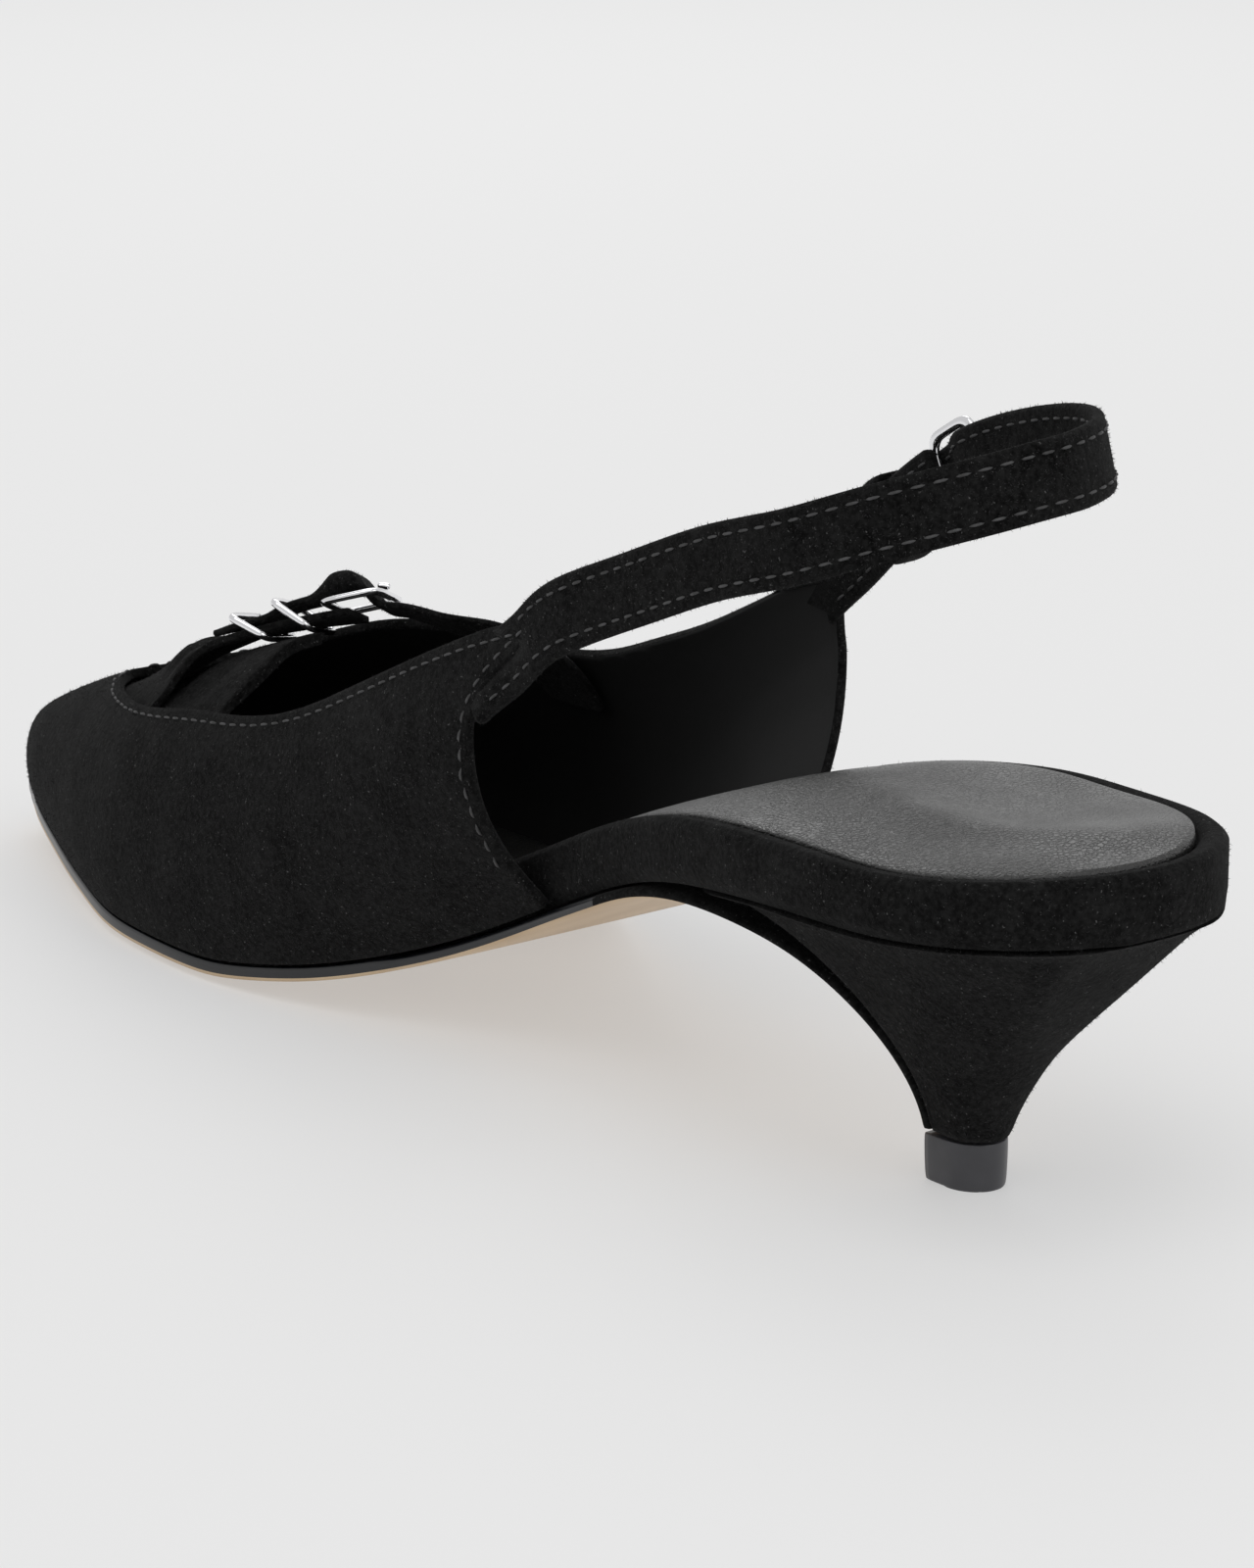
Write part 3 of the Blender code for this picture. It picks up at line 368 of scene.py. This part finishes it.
def suede(name, low, high, speck):
    """Brushed nap: patches where the pile lies differently, fine fibres and a few pale ends."""
    mat, tree, out, place = shader(name, (high,) * 3, 0.95, Sheen_Weight=0.03,
                                   Sheen_Roughness=0.5, Specular_IOR_Level=0.04)
    grain = noise(tree, place, 1150, 5.0, 0.68)
    patches = ramp(tree, noise(tree, place, 130, 3.0), [(0.32, 0.0), (0.70, high * 0.5)])
    ends = ramp(tree, noise(tree, place, 2100, 2.0, 0.6), [(0.66, 0.0), (0.76, speck)])
    total = ramp(tree, grain, [(0.40, low), (0.62, high)])
    for extra in (patches, ends):
        added = tree.nodes.new("ShaderNodeMix")
        added.data_type, added.blend_type = "RGBA", "ADD"
        added.inputs["Factor"].default_value = 1.0
        tree.links.new(total, added.inputs["A"])
        tree.links.new(extra, added.inputs["B"])
        total = added.outputs["Result"]
    tree.links.new(total, out.inputs["Base Color"])
    bump(tree, out, [(noise(tree, place, 420, 3.0), 0.00030, 0.6), (grain, 0.00030, 0.9)])
    return mat


def grained_leather(name, low, high, rough, grain, depth):
    """Grained leather: pebbles with soft folds between them."""
    mat, tree, out, place = shader(name, high, rough)
    warp = tree.nodes.new("ShaderNodeTexNoise")
    warp.inputs["Scale"].default_value = grain * 0.7
    tree.links.new(place, warp.inputs["Vector"])
    wander = tree.nodes.new("ShaderNodeMix")
    wander.data_type = "VECTOR"
    wander.inputs["Factor"].default_value = 0.0006
    tree.links.new(place, wander.inputs["A"])
    tree.links.new(warp.outputs["Color"], wander.inputs["B"])
    cells = tree.nodes.new("ShaderNodeTexVoronoi")
    cells.feature = "DISTANCE_TO_EDGE"
    cells.inputs["Scale"].default_value = grain
    tree.links.new(wander.outputs["Result"], cells.inputs["Vector"])
    pebbles = ramp(tree, cells.outputs["Distance"], [(0.0, 0.0), (0.22, 1.0)])
    tree.links.new(ramp(tree, noise(tree, place, 60, 3.0), [(0.3, low), (0.7, high)]),
                   out.inputs["Base Color"])
    roughs = ramp(tree, noise(tree, place, 90, 2.0), [(0.3, rough - 0.06), (0.7, rough + 0.06)])
    tree.links.new(roughs, out.inputs["Roughness"])
    bump(tree, out, [(pebbles, depth, 0.6), (noise(tree, place, grain * 3, 2.0), depth, 0.2)])
    return mat


def polished(name):
    """Bright plated metal with faint haze and hairline wear."""
    mat, tree, out, place = shader(name, (0.86, 0.86, 0.88), 0.12, 1.0)
    rough = ramp(tree, noise(tree, place, 300, 4.0), [(0.3, 0.06), (0.75, 0.2)])
    tree.links.new(rough, out.inputs["Roughness"])
    bump(tree, out, [(noise(tree, place, 1800, 2.0), 0.00002, 0.3)])
    return mat


def smooth_leather(name, low, high, rough, scale, coat=0.0):
    """Finished leather or lacquered edge: slight mottling, almost no grain."""
    mat, tree, out, place = shader(name, high, rough, Coat_Weight=coat, Coat_Roughness=0.12)
    tree.links.new(ramp(tree, noise(tree, place, scale, 4.0), [(0.3, low), (0.7, high)]),
                   out.inputs["Base Color"])
    bump(tree, out, [(noise(tree, place, scale * 14, 2.0), 0.00004, 0.35)])
    return mat


SUEDE = suede("suede_nap", low=0.0016, high=0.0098, speck=0.085)
LINING = smooth_leather("black_lining", low=(0.0012,) * 3, high=(0.0020, 0.0020, 0.0023),
                        rough=0.7, scale=90)
SOCK = grained_leather("sock_grain", low=(0.018, 0.018, 0.0175), high=(0.021, 0.021, 0.0203),
                       rough=0.37, grain=1250, depth=0.00012)
BOTTOM = smooth_leather("outsole_tan", low=(0.50, 0.36, 0.22), high=(0.60, 0.45, 0.29),
                        rough=0.42, scale=70)
EDGE = smooth_leather("sole_edge_black", low=(0.003, 0.0034, 0.0044),
                      high=(0.005, 0.0056, 0.0075), rough=0.3, scale=120, coat=0.12)
LIFT = smooth_leather("top_lift", low=(0.034, 0.034, 0.038), high=(0.048, 0.048, 0.054),
                      rough=0.36, scale=200)
METAL = polished("polished_metal")
THREAD = smooth_leather("thread", low=(0.022,) * 3, high=(0.060, 0.060, 0.062),
                        rough=0.6, scale=900)
FIBRE = smooth_leather("fibre", low=(0.004,) * 3, high=(0.020, 0.020, 0.021),
                       rough=0.9, scale=600)


# Small repeated things, gathered into one mesh each
class Heap:
    """Points and faces that end as one object."""

    def __init__(self):
        self.points, self.faces = [], []

    def add(self, points, faces):
        """Add a small thing, whose faces count its own points from 0."""
        start = len(self.points)
        self.points.extend(points)
        self.faces.extend([tuple(start + i for i in f) for f in faces])

    def make(self, name, mat):
        """Turn what has been gathered into an object."""
        mesh = bpy.data.meshes.new(name)
        mesh.from_pydata(self.points, [], self.faces)
        mesh.materials.append(mat)
        mesh.shade_smooth()
        obj = bpy.data.objects.new(name, mesh)
        bpy.context.scene.collection.objects.link(obj)
        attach(obj, "root")


STITCHES = Heap()
NAP = Heap()


def stitch(middle, along, up):
    """One thread float: a rounded spindle that dips into the leather at both ends."""
    side = along.cross(up).normalized()
    points = []
    for i in range(STITCH_RINGS):
        t = i / (STITCH_RINGS - 1) * 2 - 1
        r = STITCH_WIDTH / 2 * max(STITCH_END, math.sqrt(1 - t ** 4))
        rise = STITCH_WIDTH * (STITCH_RISE - STITCH_DIP * t * t)
        centre = middle + along * (STITCH_LENGTH / 2 * t) + up * rise
        for k in range(STITCH_SIDES):
            a = 2 * math.pi * k / STITCH_SIDES
            points.append(centre + side * (r * math.cos(a)) + up * (r * math.sin(a)))
    rings = [[i * STITCH_SIDES + k for k in range(STITCH_SIDES)] for i in range(STITCH_RINGS)]
    faces = [(a[k], a[(k + 1) % STITCH_SIDES], b[(k + 1) % STITCH_SIDES], b[k])
             for a, b in zip(rings, rings[1:]) for k in range(STITCH_SIDES)]
    faces += [tuple(rings[0][::-1]), tuple(rings[-1])]
    STITCHES.add(points, faces)


def sew(line, tree, hidden=None):
    """Stitches at an even pitch along a line of points, laid on the surface in tree."""
    steps = [(b - a).length for a, b in zip(line, line[1:])]
    walk, k = 0.0, 0
    for n in range(int(sum(steps) / STITCH_PITCH)):
        target = (n + 0.5) * STITCH_PITCH
        while k < len(steps) - 1 and walk + steps[k] < target:
            walk += steps[k]
            k += 1
        t = min(1.0, (target - walk) / max(steps[k], 1e-9))
        spot, normal, _, _ = tree.find_nearest(line[k].lerp(line[k + 1], t))
        if spot is not None and not (hidden and hidden(spot)):
            along = (line[k + 1] - line[k]).normalized()
            along = (along - normal * along.dot(normal)).normalized()
            stitch(spot, along, normal)


def fuzz(obj, count, seed):
    """Short loose fibres standing off the suede of an object, which is its first material."""
    shown = obj.evaluated_get(bpy.context.evaluated_depsgraph_get())
    mesh = shown.to_mesh()
    mesh.calc_loop_triangles()
    co = np.array([v.co for v in mesh.vertices])
    tris = np.array([t.vertices for t in mesh.loop_triangles if t.material_index == 0])
    shown.to_mesh_clear()
    a, b, c = (co[tris[:, k]] for k in range(3))
    normal = np.cross(b - a, c - a)
    area = np.linalg.norm(normal, axis=1)
    rng = np.random.default_rng(seed)
    pick = rng.choice(len(tris), count, p=area / area.sum())
    s, t = rng.random(count), rng.random(count)
    flip = s + t > 1
    s[flip], t[flip] = 1 - s[flip], 1 - t[flip]
    spot = a[pick] + (b - a)[pick] * s[:, None] + (c - a)[pick] * t[:, None]
    normal = (normal / np.maximum(area, 1e-15)[:, None])[pick]
    lie = rng.normal(size=(count, 3))
    lie -= normal * np.sum(lie * normal, axis=1, keepdims=True)
    lie /= np.linalg.norm(lie, axis=1, keepdims=True)
    lift = rng.uniform(*FIBRE_LIFT, count)[:, None]
    length = FIBRE_LENGTH * rng.uniform(*FIBRE_LENGTHS, count)[:, None]
    tip = spot + (lie * (1 - lift) + normal * lift) * length
    side = np.cross(normal, lie) * FIBRE_WIDTH
    points = np.stack([spot - side, spot + side, tip], axis=1).reshape(-1, 3)
    NAP.add([Vector(p) for p in points], [(3 * i, 3 * i + 1, 3 * i + 2) for i in range(count)])


# The dressed pieces
def dress_upper():
    """Suede outside, smooth lining inside, one row of stitches along every free edge."""
    bm = quads_of("upper")
    outer, inner = sheets(bm)[:2]
    low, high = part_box("upper")
    core = (low + high) / 2

    def outward(group):
        """How much area of a sheet faces away from the middle of the upper."""
        return sum((f.calc_center_median() - core).normalized().dot(f.normal) * f.calc_area()
                   for f in group)

    if outward(outer) < outward(inner):
        outer, inner = inner, outer
    for f in inner:
        f.material_index = 1
    sole = node_tree("outsole")
    surface = tree_of(bm, outer)
    for run in runs(rims(outer)[0], lambda p: sole.find_nearest(p)[3] > SOLE_TO_STITCH):
        sew(inset_line(run, EDGE_TO_STITCH), surface)
    obj = piece("upper_suede", bm, [SUEDE, LINING], "upper", levels=2, crease=0.75)
    fuzz(obj, count=32000, seed=1)


def covered(wall, place, side):
    """Whether a point lies behind the quarter's wall, seen from that side of the shoe."""
    hit = wall.ray_cast(Vector((place.x, side * RAY_START, place.z)), Vector((0, -side, 0)))[0]
    return hit is not None and hit.y * side > 0


def lay_root(bm, side):
    """Ease a strap's root out into the plane of its quarter, where the two are sewn together."""
    for v in bm.verts:
        if v.co.y * side > 0:
            t = share(v.co.x, QUARTERS_STOP - ROOT_RUN, ROOT_RUN)
            v.co.y += side * ROOT_PUSH * t * t * (3 - 2 * t)


def trim_root(obj, wall, side):
    """Take away what of the strap lies deeper in the quarter's wall than the seam, and close it."""
    freeze(obj)
    bm = bmesh.new()
    bm.from_mesh(obj.data)
    deep = [f for f in bm.faces if f.calc_center_median().y * side > 0
            and covered(wall, f.calc_center_median() + SEAM_DEPTH, side)]
    bmesh.ops.delete(bm, geom=deep, context="FACES")
    bmesh.ops.holes_fill(bm, edges=[e for e in bm.edges if e.is_boundary])
    bm.to_mesh(obj.data)
    bm.free()


def dress_sling(name, side, count, seed):
    """Suede strap sewn to one side's quarter, with stitches along the edges of both faces."""
    bm = quads_of(name)
    wall = node_tree("upper")
    lay_root(bm, side)
    for group in sheets(bm)[:2]:
        surface = tree_of(bm, group)
        chain = rims(group)[0]
        corners = [i for i in range(len(chain)) if turn(chain, i) > CORNER]
        for run in split(chain, corners):
            if len(run) >= SHORTEST_EDGE:
                sew(inset_line(run, STRAP_EDGE_TO_STITCH), surface,
                    lambda p: p.y * side > 0 and covered(wall, p, side))
    obj = piece(name + "_suede", bm, [SUEDE], name, levels=2, crease=0.6)
    trim_root(obj, wall, side)
    fuzz(obj, count, seed)


def dress_plain(name, made, mat, levels, crease):
    """A piece of one material, rounded and otherwise as the solid is."""
    return piece(made, quads_of(name), [mat], name, levels, crease)


def dress_outsole():
    """Tan underside and lower rim, a lacquered edge above, suede at the sides of the tongue."""
    bm = quads_of("outsole")
    bottom = tree_of(bm, [f for f in bm.faces if f.normal.z < -FLAT])
    top = tree_of(bm, [f for f in bm.faces if f.normal.z > FLAT])
    obj = piece("outsole_leather", bm, [BOTTOM, EDGE, SUEDE], "outsole", levels=2, crease=0.9)
    freeze(obj)
    tan, lacquer, nap = range(3)
    for f in obj.data.polygons:
        n = f.normal
        on_tongue = f.center.x < QUARTERS_STOP
        in_front = n.x > TONGUE_FORWARD and n.z < TONGUE_UP
        below, above = bottom.find_nearest(f.center)[3], top.find_nearest(f.center)[3]
        low_rim = n.z < RIM and below < TAN_SHARE * (below + above)
        if n.z < UNDERSIDE or (in_front if on_tongue else low_rim):
            f.material_index = tan
        else:
            f.material_index = nap if on_tongue else lacquer


def dress_footbed():
    """Wrapped in suede all round."""
    obj = dress_plain("footbed", "footbed_suede", SUEDE, levels=2, crease=0.6)
    fuzz(obj, count=18000, seed=2)


def dress_heel():
    """The heel's cover flares at its sides near the top, to meet the footbed's wrapped edge."""
    obj = dress_plain("heel", "heel_suede", SUEDE, levels=2, crease=0.6)
    freeze(obj)
    low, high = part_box("heel")
    middle_y = (low.y + high.y) / 2
    for v in obj.data.vertices:
        up = share(v.co.z, high.z - FLARE_TALL, FLARE_TALL)
        back = share(HEEL_MIDDLE - v.co.x, 0.0, FLARE_RUN)
        way = Vector((v.co.x - HEEL_MIDDLE, v.co.y - middle_y, 0))
        if way.length > HEEL_CORE:
            way.normalize()
            v.co += way * FLARE * up ** 2 * back * way.y ** 2
    fuzz(obj, count=12000, seed=3)


def dress_heel_tip():
    """Small dark top lift."""
    dress_plain("heel_tip", "heel_tip_lift", LIFT, levels=2, crease=0.9)


def dress_sock():
    """Padded seat: a shallow hollow with a soft roll round it, fading at the sock's edge."""
    obj = dress_plain("insole_sock", "sock_leather", SOCK, levels=2, crease=0.5)
    freeze(obj)
    low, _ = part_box("insole_sock")
    tops = [v.index for v in obj.data.vertices if v.normal.z > SOCK_TOP]
    for k in tops:
        place = obj.data.vertices[k].co
        along = (place.x - low.x - SEAT_MIDDLE) / SEAT_LONG
        across = (place.y - SEAT_Y) / SEAT_WIDE
        r = math.hypot(along, across)
        place.z += ROLL_HEIGHT * math.exp(-((r - ROLL_AT) / ROLL_WIDTH) ** 2)
        place.z -= HOLLOW_DEPTH * math.exp(-(r / HOLLOW_WIDTH) ** 2)


def dress_pleat():
    """The rear pleat swells towards its top, where the suede is drawn together under the belt."""
    obj = dress_plain("instep_pleat", "instep_pleat_suede", SUEDE, levels=2, crease=0.6)
    freeze(obj)
    low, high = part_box("instep_pleat")
    tops = [(v.index, v.normal.copy()) for v in obj.data.vertices if v.normal.z > PLEAT_TOP]
    for k, normal in tops:
        place = obj.data.vertices[k].co
        height = (place.z - low.z) / (high.z - low.z)
        place += normal * PLEAT_FULL * share(height, PLEAT_FROM, PLEAT_RUN)
    fuzz(obj, count=2500, seed=7)


def dress_belt():
    """Gathered belt over the throat."""
    obj = dress_plain("instep_belt", "instep_belt_suede", SUEDE, levels=2, crease=0.6)
    fuzz(obj, count=4000, seed=6)


def dress_billet():
    """Short band that carries the instep buckle."""
    obj = dress_plain("instep_billet", "instep_billet_suede", SUEDE, levels=2, crease=0.6)
    fuzz(obj, count=3500, seed=8)


def dress_sling_keeper():
    """Suede loop that holds the strap's end."""
    obj = dress_plain("sling_keeper", "sling_keeper_suede", SUEDE, levels=1, crease=0.6)
    fuzz(obj, count=500, seed=9)


def dress_metal():
    """Both buckles with their prongs, and the two rings over the belt."""
    for name in ("sling_buckle", "sling_prong", "instep_buckle", "instep_prong",
                 "instep_keeper_1", "instep_keeper_2"):
        dress_plain(name, name + "_metal", METAL, levels=1, crease=0.4)


def dress_all():
    """Every piece of the shoe, then the stitches and fibres gathered on the way."""
    dress_upper()
    dress_outsole()
    dress_footbed()
    dress_heel()
    dress_sock()
    dress_heel_tip()
    dress_sling("sling_strap", side=1, count=12000, seed=4)
    dress_sling("sling_tab", side=-1, count=1500, seed=5)
    dress_belt()
    dress_pleat()
    dress_billet()
    dress_sling_keeper()
    dress_metal()
    STITCHES.make("stitching", THREAD)
    NAP.make("suede_fibres", FIBRE)


# Setting
def make_floor():
    """Pale paper under the shoe, wide enough that its edge is never seen."""
    bpy.ops.mesh.primitive_circle_add(vertices=96, radius=FLOOR_RADIUS, fill_type="NGON")
    floor = bpy.context.object
    floor.name = "floor"
    mat, tree, out, place = shader("floor_paper", (FLOOR_GREY,) * 3, 0.9, Specular_IOR_Level=0.0,
                                   Emission_Color=(1, 1, 1, 1), Emission_Strength=FLOOR_GLOW)
    greys = [(0.3, FLOOR_GREY - FLOOR_MOTTLE), (0.7, FLOOR_GREY + FLOOR_MOTTLE)]
    tree.links.new(ramp(tree, noise(tree, place, 2.0), greys), out.inputs["Base Color"])
    floor.data.materials.append(mat)


def area_light(name, place, aim, size, power):
    """Square soft lamp, turned to a point."""
    light = bpy.data.lights.new(name, "AREA")
    light.shape, light.size, light.energy = "SQUARE", size, power
    obj = bpy.data.objects.new(name, light)
    obj.location = place
    obj.rotation_euler = (Vector(aim) - Vector(place)).to_track_quat("-Z", "Y").to_euler()
    bpy.context.scene.collection.objects.link(obj)


def make_lights():
    """Even sky and three soft lamps."""
    world = bpy.data.worlds.new("studio")
    world.use_nodes = True
    sky = world.node_tree.nodes["Background"]
    sky.inputs["Color"].default_value = (SKY_GREY, SKY_GREY, SKY_GREY, 1)
    sky.inputs["Strength"].default_value = SKY_STRENGTH
    bpy.context.scene.world = world
    area_light("key", place=(-0.3, 0.5, 1.4), aim=(0, 0, 0.03), size=1.2, power=4.5)
    area_light("back", place=(0.9, -0.7, 0.9), aim=(0, 0, 0.05), size=0.8, power=3.5)
    area_light("heel_side", place=(-1.2, -0.2, 0.7), aim=(-0.05, 0, 0.05), size=0.6, power=2)


def make_camera():
    """Camera where the photo was taken from."""
    data = bpy.data.cameras.new("camera")
    data.sensor_width = SENSOR
    data.lens = SENSOR * FOCAL_PIXELS / PHOTO_HEIGHT
    data.clip_start, data.clip_end = CLIP
    camera = bpy.data.objects.new("camera", data)
    back = Vector((-math.sin(AZIMUTH) * math.cos(ELEVATION),
                   math.cos(AZIMUTH) * math.cos(ELEVATION), math.sin(ELEVATION)))
    camera.location = AIM + back * DISTANCE
    camera.rotation_euler = (-back).to_track_quat("-Z", "Y").to_euler()
    bpy.context.scene.collection.objects.link(camera)
    bpy.context.scene.camera = camera


bpy.context.scene.view_settings.view_transform = "Standard"
make_camera()
make_floor()
make_lights()
dress_all()
